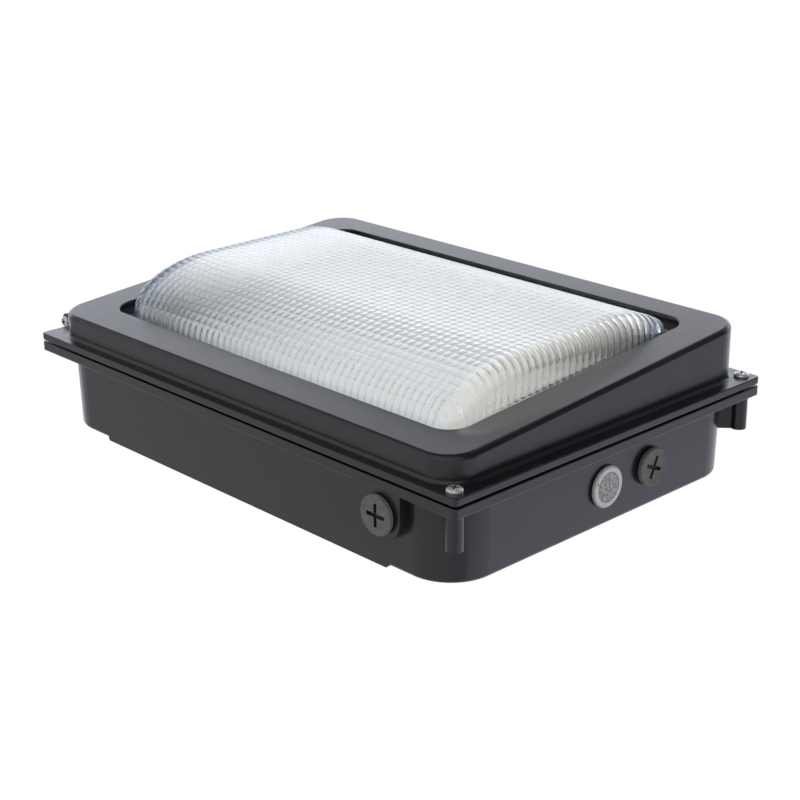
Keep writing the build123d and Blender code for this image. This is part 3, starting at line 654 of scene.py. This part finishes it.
def loafSkin(s, inset, foot, thin):
    # rows of points from the foot of the left end wall over the top to the foot of the right one
    line, travel = archLine(s, inset, foot)
    rows = round(archLine(s, 0.0, s["rimTop"])[1][-1] / s["pillow"])
    rowPhase = np.linspace(0, rows, rows * s["pillowCut"] // thin + 1)
    at = rowPhase / rows * travel[-1]
    z = np.interp(at, travel, line[:, 0])
    level = np.interp(at, travel, line[:, 1])
    # half length of each row: the plan's round corners draw the first and last rows in
    corner = s["corner"] - inset
    fromEdge = np.minimum(z - (s["low"] + inset), (s["high"] - inset) - z)
    into = np.clip(corner - fromEdge, 0, corner)
    half = s["halfLength"] - inset - corner + np.sqrt(np.maximum(corner**2 - into**2, 0))
    wall = np.maximum(level - foot - s["slope"] * z, 0)
    shoulder = np.minimum(s["shoulder"] - inset / 2, s["shoulderLimit"] * wall)
    flatHalf = s["halfLength"] - s["shoulder"]
    columns = round(2 * flatHalf / s["pillow"])
    columnPhase = np.linspace(0, columns, columns * s["pillowCut"] // thin + 1)
    across = (columnPhase / columns * 2 - 1) * flatHalf
    bend = flatHalf - s["bendZone"]
    beyond = np.maximum(np.abs(across) - bend, 0) / s["bendZone"]
    turn = np.linspace(0, math.pi / 2, s["shoulderCuts"] // thin + 1)[1:]
    down = np.linspace(0, 1, max(s["wallCuts"] // thin, 2) + 1)[1:]
    over = np.concatenate([turn / (math.pi / 2), 1 + down])
    column = np.concatenate([-over[::-1], columnPhase, columns + over])
    endShare = np.concatenate([np.full(len(turn), s["shoulderShare"]), np.zeros(len(down))])
    endBase = np.concatenate([np.zeros(len(turn)), down])

    def both(end, middle):
        # one row: the left end, the same value all along the top, the right end
        return np.concatenate([end[::-1], np.full(len(across), middle), end])

    points, shares = [], []
    for k in range(len(at)):
        spread = bend + beyond * (half[k] - shoulder[k] - bend)
        top = np.where(np.abs(across) > bend, np.sign(across) * spread, across)
        sideX = np.concatenate([half[k] - shoulder[k] * (1 - np.sin(turn)), np.full(len(down), half[k])])
        roundY = level[k] - shoulder[k] * (1 - np.cos(turn))
        wallY = level[k] - shoulder[k] - (wall[k] - shoulder[k]) * down
        x = np.concatenate([-sideX[::-1], top, sideX])
        y = both(np.concatenate([roundY, wallY]), level[k])
        points.append(np.stack([x, -y, np.full(len(x), z[k])], -1))
        # pillows on the arch, plain flutes up the foot and the ends, fading out where the end walls are low
        onFoot = at[k] < s["plainFoot"]
        lift = np.full(len(over), s["fluteRelief"] * min(wall[k] / s["lowWall"], 1.0))
        shares.append(np.stack([
            column,
            np.full(len(x), rowPhase[k]),
            np.full(len(x), 0.0 if onFoot else 1.0),
            both(endShare, 1.0),
            both(lift, s["fluteRelief"] if onFoot else 1.0),
            both(endBase, max(1 - at[k] / s["plainFoot"], 0)),
        ], -1))
    return np.array(points), np.array(shares), len(over)


def footLoop(count, width, sides, first):
    # the closed line where the skin meets the rim, in order round the plan
    bottom = [first + k for k in range(sides, width - sides)]
    right = [first + t * width + width - 1 for t in range(1, count - 1)]
    top = [first + (count - 1) * width + k for k in range(width - sides - 1, sides - 1, -1)]
    left = [first + t * width for t in range(count - 2, 0, -1)]
    return bottom + right + top + left


def outlineAt(points, s):
    # moves each plan point straight away from the middle until it meets the rim's outline
    centre, half = np.array([0, s["middle"]]), np.array(s["half"])
    core = half - s["corner"] - s["core"]
    rel = points - centre
    start = np.clip(rel, -core, core)
    away = rel - start
    away = away / np.maximum(np.linalg.norm(away, axis=1), 1e-9)[:, None]
    low, high = np.zeros(len(points)), np.full(len(points), s["reach"])
    for _ in range(s["halvings"]):
        mid = (low + high) / 2
        q = np.abs(start + away * mid[:, None]) - half + s["corner"]
        gap = np.linalg.norm(np.maximum(q, 0), axis=1) + np.minimum(q.max(axis=1), 0) - s["corner"]
        low, high = np.where(gap < 0, mid, low), np.where(gap < 0, high, mid)
    return start + away * low[:, None] + centre


def makeLens(s):
    verts, faces, attributes = [], [], []

    def addSkin(inset, foot, thin, relief):
        points, shares, sides = loafSkin(s, inset, foot, thin)
        count, width = points.shape[:2]
        first = sum(len(block) for block in verts)
        verts.append(points.reshape(-1, 3))
        keep = shares[..., lensAttributes.index("reliefShare")]
        keep *= relief
        keep[0] = keep[-1] = 0
        keep[:, 0] = keep[:, -1] = 0
        attributes.append(shares.reshape(-1, len(lensAttributes)))
        for t in range(count - 1):
            for k in range(width - 1):
                a = first + t * width + k
                faces.append((a, a + 1, a + width + 1, a + width))
        return footLoop(count, width, sides, first)

    def addLoop(plan, foot):
        first = sum(len(block) for block in verts)
        verts.append(np.stack([plan[:, 0], -(foot + s["slope"] * plan[:, 1]), plan[:, 1]], -1))
        attributes.append(np.zeros((len(plan), len(lensAttributes))))
        return list(range(first, first + len(plan)))

    thin = s["innerThin"]
    outer = addSkin(0.0, s["rimTop"], 1, 1.0)
    inner = addSkin(s["glass"], s["rimUnder"], thin, 0.0)
    edge = np.concatenate(verts)[outer][:, [0, 2]]
    rimPlan = outlineAt(edge, s["rim"])
    rimHigh = addLoop(rimPlan, s["rimTop"])
    rimLow = addLoop(rimPlan[::thin], s["rimUnder"])
    count, few = len(outer), len(inner)
    assert count == few * thin
    for k in range(count):
        n = (k + 1) % count
        faces.append((outer[k], outer[n], rimHigh[n], rimHigh[k]))
    for k in range(few):
        n = (k + 1) % few
        between = [rimHigh[(k * thin + i) % count] for i in range(thin + 1)]
        faces.append((*between, rimLow[n], rimLow[k]))
        faces.append((rimLow[k], rimLow[n], inner[n], inner[k]))
    mesh = bpy.data.meshes.new("prismaticLens")
    mesh.from_pydata(np.concatenate(verts).tolist(), [], faces)
    stacked = np.concatenate(attributes).astype(np.float32)
    for place, label in enumerate(lensAttributes):
        mesh.attributes.new(label, "FLOAT", "POINT").data.foreach_set("value", stacked[:, place].copy())
    work = bmesh.new()
    work.from_mesh(mesh)
    bmesh.ops.remove_doubles(work, verts=work.verts, dist=s["weld"])
    bmesh.ops.dissolve_degenerate(work, edges=work.edges, dist=s["weld"])
    bmesh.ops.recalc_face_normals(work, faces=work.faces)
    if work.calc_volume(signed=True) < 0:
        bmesh.ops.reverse_faces(work, faces=work.faces)
    work.to_mesh(mesh)
    work.free()
    mesh.polygons.foreach_set("use_smooth", [True] * len(mesh.polygons))
    return addObject("prismaticLens", mesh)


def pillowTree():
    # height of a point over the smooth glass: round flutes both ways, each kept only where its share is 1
    tree, entry = startTree("pressedPillows", {"Relief": "NodeSocketFloat"})

    def read(label):
        got = node(tree, "GeometryNodeInputNamedAttribute", {"Name": label}, data_type="FLOAT")
        return got.outputs["Attribute"]

    def rounded(label):
        share = read(label + "Share")
        swing = maths(tree, "SUBTRACT", times(tree, maths(tree, "FRACT", read(label)), 2.0), 1.0)
        bow = maths(tree, "SQRT", maths(tree, "MAXIMUM", rest(tree, times(tree, swing, swing)), 0.0))
        return maths(tree, "ADD", times(tree, bow, share), rest(tree, share))

    lift = times(tree, rounded("column"), rounded("row"), read("reliefShare"), entry["Relief"])
    normal = node(tree, "GeometryNodeInputNormal").outputs["Normal"]
    scaled = node(tree, "ShaderNodeVectorMath", {0: normal, "Scale": lift}, operation="SCALE")
    inputs = {"Geometry": entry["Geometry"], "Offset": scaled.outputs["Vector"]}
    shifted = node(tree, "GeometryNodeSetPosition", inputs)
    return endTree(tree, entry, shifted.outputs["Geometry"])


pressing = {"Relief": lensGlass["relief"], "Material": made["prismGlass"]}
prismaticLens = settle(makeLens(lensGlass), pillowTree(), pressing)
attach(prismaticLens, "door")
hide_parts("lens")
print("lens pressed:", len(prismaticLens.data.polygons), "faces")


# turned pieces: a lathe skin round +Z, slots cut into its top, and a thread wound round its stem
def closeMesh(work, name):
    bmesh.ops.recalc_face_normals(work, faces=work.faces)
    mesh = bpy.data.meshes.new(name)
    work.to_mesh(mesh)
    work.free()
    return mesh


def addLathe(name, profile, steps):
    work = bmesh.new()
    rings = []
    turns = [2 * math.pi * k / steps for k in range(steps)]
    for radius, height in profile:
        ring = [(radius * math.cos(a), radius * math.sin(a), height) for a in turns]
        if radius == 0:
            ring = ring[:1]
        rings.append([work.verts.new(point) for point in ring])
    for low, high in zip(rings, rings[1:]):
        for k in range(steps):
            n = (k + 1) % steps
            corners = [low[k % len(low)], low[n % len(low)], high[n % len(high)], high[k % len(high)]]
            work.faces.new(list(dict.fromkeys(corners)))
    return addObject(name, closeMesh(work, name))


def roundOver(radius, top, size, cuts):
    # the rounded edge of a head, from its side up to its top
    turns = [math.pi / 2 * k / cuts for k in range(1, cuts + 1)]
    return [(radius - size * (1 - math.cos(a)), top - size * (1 - math.sin(a))) for a in turns]


# how far the cutter stands over the head, and how the faces marked for painted shade keep to the slots'
# floor, rim and ends
crossSlot = {"above": 0.001, "markFloor": 0.0001, "markRim": 0.0003, "markEnd": 0.0002}


def carveCross(thing, s, top, turn):
    # two crossing slots sunk into the top of a head, narrower at the bottom where they taper
    for quarter in (0, math.pi / 2):
        work = bmesh.new()
        ends = []
        for height, share in ((top - s["slotDeep"], s["slotTaper"]), (top + crossSlot["above"], 1.0)):
            x, y = s["slotLong"] / 2 * share, s["slotWide"] / 2 * share
            corners = ((-x, -y), (x, -y), (x, y), (-x, y))
            ends.append([work.verts.new((*corner, height)) for corner in corners])
            work.faces.new(ends[-1])
        for k in range(4):
            n = (k + 1) % 4
            work.faces.new((ends[0][k], ends[0][n], ends[1][n], ends[1][k]))
        bmesh.ops.rotate(work, verts=work.verts, matrix=Matrix.Rotation(quarter + turn, 3, "Z"))
        mesh = closeMesh(work, "slotCutter")
        cutter = addObject("slotCutter", mesh)
        cut = thing.modifiers.new("slot", "BOOLEAN")
        cut.operation = "DIFFERENCE"
        cut.solver = "EXACT"
        cut.object = cutter
        keepResult(thing, cut)
        bpy.data.objects.remove(cutter)
        bpy.data.meshes.remove(mesh)


def markSlotShade(thing, s, top):
    # faces down in the slots, which the finish darkens as painted shade
    low, high = top - s["slotDeep"] - crossSlot["markFloor"], top - crossSlot["markRim"]
    reach = s["slotLong"] / 2 + crossSlot["markEnd"]
    inSlot = []
    for face in thing.data.polygons:
        x, y, z = face.center
        inSlot.append(1.0 if low < z < high and math.hypot(x, y) < reach else 0.0)
    thing.data.attributes.new("recess", "FLOAT", "FACE").data.foreach_set("value", inSlot)


def threadTree():
    # winds a small ridge round the stem and joins it to the piece
    sizes = dict.fromkeys(("Radius", "Top", "Length", "Turns", "Ridge"), "NodeSocketFloat")
    tree, entry = startTree("woundThread", sizes)
    spiral = node(tree, "GeometryNodeCurveSpiral", {
        "Resolution": 28, "Rotations": entry["Turns"], "Start Radius": entry["Radius"],
        "End Radius": entry["Radius"], "Height": entry["Length"],
    })
    ridge = node(tree, "GeometryNodeCurvePrimitiveCircle", {"Resolution": 4, "Radius": entry["Ridge"]})
    wound = node(tree, "GeometryNodeCurveToMesh", {
        "Curve": spiral.outputs["Curve"], "Profile Curve": ridge.outputs["Curve"], "Fill Caps": True,
    })
    foot = maths(tree, "SUBTRACT", entry["Top"], entry["Length"])
    shift = node(tree, "ShaderNodeCombineXYZ", {"Z": foot}).outputs["Vector"]
    moved = node(tree, "GeometryNodeTransform", {"Geometry": wound.outputs["Mesh"], "Translation": shift})
    both = node(tree, "GeometryNodeJoinGeometry", {"Geometry": entry["Geometry"]})
    fill(tree, both, {"Geometry": moved.outputs["Geometry"]})
    return endTree(tree, entry, both.outputs["Geometry"])


woundThread = threadTree()


def windThread(thing, s, top, length, material):
    settle(thing, woundThread, {
        "Radius": s["core"], "Top": top, "Length": length, "Turns": length / s["pitch"],
        "Ridge": s["ridge"], "Material": material,
    })


def smoothByAngle(thing, angle):
    # smooth shading with crisp edges where faces meet at more than the angle
    work = bmesh.new()
    work.from_mesh(thing.data)
    for face in work.faces:
        face.smooth = True
    for edge in work.edges:
        edge.smooth = edge.is_manifold and edge.calc_face_angle(0) < math.radians(angle)
    work.to_mesh(thing.data)
    work.free()


def standAt(thing, place, columns):
    # puts a piece built on the origin, head up, where it belongs: columns are where its X, Y and Z point
    turn = Matrix(columns).transposed().to_4x4()
    thing.data.transform(Matrix.Translation(Vector(place)) @ turn)


def dress(thing, body, slot, *replaced):
    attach(thing, body)
    for name in replaced:
        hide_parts(name)


frontUp = ((1, 0, 0), (0, 0, 1), (0, -1, 0))
topUp = ((1, 0, 0), (0, 1, 0), (0, 0, 1))
bottomUp = ((1, 0, 0), (0, -1, 0), (0, 0, -1))
rightUp = ((0, 1, 0), (0, 0, 1), (1, 0, 0))
leftUp = ((0, 0, 1), (0, 1, 0), (-1, 0, 0))


# cross-slot screws: bright zinc, rounded head, thread down the shank
screwShape = {
    "tip": 0.55, "tipLength": 0.6,  # shares of the core's radius
    "under": 0.97, "edge": 0.10, "side": 0.38, "flat": 0.42,  # shares of the head's radius or height
    "domeCuts": 9, "steps": 40, "runOut": 0.0012, "slotTaper": 0.72, "crisp": 38,
}
doorScrew = {
    **screwShape, "headRadius": 0.0049, "headHeight": 0.0026, "core": 0.0017, "shank": 0.014,
    "plain": 0.0052, "pitch": 0.0008, "ridge": 0.00035,
    "slotLong": 0.0056, "slotWide": 0.0013, "slotDeep": 0.0016, "turn": 30,
}
hingeScrew = {
    **screwShape, "headRadius": 0.0040, "headHeight": 0.0028, "core": 0.0024, "shank": 0.0246,
    "plain": 0.0125, "pitch": 0.0007, "ridge": 0.0001,
    "slotLong": 0.0048, "slotWide": 0.0012, "slotDeep": 0.0015, "turn": 20,
}


def makeScrew(name, s, place, columns, material):
    r, h, core, end = s["headRadius"], s["headHeight"], s["core"], -s["shank"]
    profile = [(0, end), (core * s["tip"], end), (core, end + core * s["tipLength"]), (core, 0.0)]
    profile += [(r * s["under"], 0.0), (r, h * s["edge"]), (r, h * s["side"])]
    for k in range(1, s["domeCuts"]):
        a = math.pi / 2 * k / s["domeCuts"]
        out = s["flat"] + (1 - s["flat"]) * math.cos(a)
        up = s["side"] + (1 - s["side"]) * math.sin(a)
        profile.append((r * out, h * up))
    profile += [(r * s["flat"], h), (0, h)]
    screw = addLathe(name, profile, s["steps"])
    carveCross(screw, s, h, math.radians(s["turn"]))
    windThread(screw, s, -s["plain"], s["shank"] - s["plain"] - s["runOut"], material)
    smoothByAngle(screw, s["crisp"])
    markSlotShade(screw, s, h)
    standAt(screw, place, columns)
    return screw


for name, body, z in (
    ("upper_door_screw", "upper_screw", 0.1297),
    ("lower_door_screw", "lower_screw", -0.1297),
):
    screw = makeScrew("crossScrew_" + body, doorScrew, (0.1913, -0.0645, z), frontUp, made["zincSteel"])
    dress(screw, body, "bright_steel", name)
for name, z, columns in (("hingePinUpper", 0.1131, topUp), ("hingePinLower", -0.1131, bottomUp)):
    pin = makeScrew(name, hingeScrew, (-0.206, -0.0655, z), columns, made["zincSteel"])
    dress(pin, "housing", "bright_steel", "hinge_screws")
print("screws turned and threaded")


# conduit plugs: moulded, cross slot in the face, pipe thread on the stem
conduitPlug = {
    "headRadius": 0.01225, "under": 0.0006, "head": 0.0030, "round": 0.0006, "roundCuts": 5, "edge": 0.0003,
    "lip": 0.0016, "lipFoot": 0.0019, "sunk": 0.00012,
    "core": 0.0093, "length": 0.009, "tip": 0.001, "pitch": 0.0018, "ridge": 0.0007,
    "plain": 0.0012, "runOut": 0.0008,
    "slotLong": 0.0145, "slotWide": 0.0024, "slotDeep": 0.0020, "slotTaper": 1.0, "steps": 64, "crisp": 30,
}


def makePlug(name, s, degrees, place, columns, material):
    r, core, end = s["headRadius"], s["core"], -s["length"]
    low, top = s["under"], s["under"] + s["head"]
    profile = [(0, end), (core - s["tip"], end), (core, end + s["tip"]), (core, low)]
    profile += [(r - s["edge"], low), (r, low + s["edge"]), (r, top - s["round"])]
    profile += roundOver(r, top, s["round"], s["roundCuts"])
    profile += [(r - s["lip"], top), (r - s["lipFoot"], top - s["sunk"]), (0, top - s["sunk"])]
    plug = addLathe(name, profile, s["steps"])
    carveCross(plug, s, top, math.radians(degrees))
    windThread(plug, s, low - s["plain"], s["length"] - s["runOut"], material)
    smoothByAngle(plug, s["crisp"])
    markSlotShade(plug, s, top)
    standAt(plug, place, columns)
    return plug


for name, body, degrees, place, columns in (
    ("bottom_plug", "bottom_entry_plug", 0, (0.140, -0.0372, -0.1375), bottomUp),
    ("right_plug", "right_entry_plug", -24, (0.190137, -0.0285, 0.0410), rightUp),
    ("left_plug", "left_entry_plug", -24, (-0.190137, -0.0285, 0.0410), leftUp),
):
    plug = makePlug("conduitPlug_" + body, conduitPlug, degrees, place, columns, made["plugPlastic"])
    dress(plug, body, "plug_grey", name)
print("conduit plugs moulded")


# photocell window: a disc with fine rings in its face, over the dark sensor
cellWindow = {
    "seat": (0.191918, -0.0277, -0.0004), "radius": 0.0124, "height": 0.0008,
    "round": 0.0004, "roundCuts": 4, "inner": 0.0096, "step": 0.00025, "bevel": 0.0003,
    "rings": 6, "ring": 0.00014, "ringCuts": 4, "steps": 56, "crisp": 40,
}


def makeCellWindow(s):
    r, h, inner = s["radius"], s["height"], s["inner"]
    low, cuts = h - s["step"], s["rings"] * s["ringCuts"]
    profile = [(0, 0), (r, 0), (r, h - s["round"])]
    profile += roundOver(r, h, s["round"], s["roundCuts"])
    profile += [(inner + s["bevel"], h), (inner, low)]
    for k in range(cuts, 0, -1):
        wave = 0.5 - 0.5 * math.cos(2 * math.pi * k / s["ringCuts"])
        profile.append((inner * k / (cuts + 1), low - s["ring"] * wave))
    profile.append((0, low))
    window = addLathe("cellWindow", profile, s["steps"])
    smoothByAngle(window, s["crisp"])
    standAt(window, s["seat"], rightUp)
    paint(window, made["cellGlass"])
    return window


dress(makeCellWindow(cellWindow), "housing", "cell_window", "photocell_window")


# lamp chips: white packages with a domed well of phosphor, on the board in even rows
lampChips = {
    "columns": 12, "rows": 5, "width": 0.198, "height": 0.088, "board": 0.0511,
    "size": 0.005, "tall": 0.0015, "steps": 16, "domeSteps": 12,
    # the well as shares of the package's size, of its own radius and of the package's height
    "well": 0.40, "wellFloor": 0.9, "wellLevel": 0.62,
    # the dome as shares of the well floor's radius and of the package's height
    "dome": [(0, 0.60), (1, 0.60), (1, 0.66), (0.7, 0.86), (0, 0.94)],
}


def chipTree():
    # sets copies of one chip out in even rows, facing the front
    sizes = {"Columns": "NodeSocketInt", "Rows": "NodeSocketInt", "Width": "NodeSocketFloat",
             "Height": "NodeSocketFloat", "Level": "NodeSocketFloat"}
    tree, entry = startTree("rowsOfChips", sizes)
    grid = node(tree, "GeometryNodeMeshGrid", {
        "Size X": entry["Width"], "Size Y": entry["Height"],
        "Vertices X": entry["Columns"], "Vertices Y": entry["Rows"],
    }).outputs["Mesh"]
    copies = node(tree, "GeometryNodeInstanceOnPoints", {"Points": grid, "Instance": entry["Geometry"]})
    shift = node(tree, "ShaderNodeCombineXYZ", {"Y": times(tree, entry["Level"], -1.0)}).outputs["Vector"]
    faced = node(tree, "GeometryNodeTransform", {
        "Geometry": copies.outputs["Instances"], "Rotation": (math.radians(90), 0, 0), "Translation": shift,
    })
    return endTree(tree, entry, faced.outputs["Geometry"])


def makeChipFrame(s):
    # square package with a bevelled round well in its top
    steps, tall = s["steps"], s["tall"]
    half, well = s["size"] / 2, s["size"] * s["well"]
    turns = [2 * math.pi * (k + 0.5) / steps for k in range(steps)]
    squared = [half / max(abs(math.cos(a)), abs(math.sin(a))) for a in turns]
    outlines = [(squared, 0.0), (squared, tall), ([well] * steps, tall)]
    outlines.append(([well * s["wellFloor"]] * steps, tall * s["wellLevel"]))
    work = bmesh.new()
    loops = []
    for radii, height in outlines:
        ring = [(r * math.cos(a), r * math.sin(a), height) for r, a in zip(radii, turns)]
        loops.append([work.verts.new(point) for point in ring])
    for low, high in zip(loops, loops[1:]):
        for k in range(steps):
            n = (k + 1) % steps
            work.faces.new((low[k], low[n], high[n], high[k]))
    work.faces.new(loops[0])
    work.faces.new(loops[-1])
    return addObject("chipFrames", closeMesh(work, "chipFrames"))


def makeDome(s):
    well = s["size"] * s["well"] * s["wellFloor"]
    return addLathe("chipPhosphor", [(well * out, s["tall"] * up) for out, up in s["dome"]], s["domeSteps"])


rowsOfChips = chipTree()
chipSizes = {
    "Columns": lampChips["columns"], "Rows": lampChips["rows"], "Width": lampChips["width"],
    "Height": lampChips["height"], "Level": lampChips["board"],
}
chipFrames = settle(makeChipFrame(lampChips), rowsOfChips, {**chipSizes, "Material": made["chipFrame"]})
dress(chipFrames, "housing", "board_white", "led_chips")
phosphor = settle(makeDome(lampChips), rowsOfChips, {**chipSizes, "Material": made["chipPhosphor"]})
dress(phosphor, "housing", "led_yellow")
print("lamp chips set out:", lampChips["columns"] * lampChips["rows"])
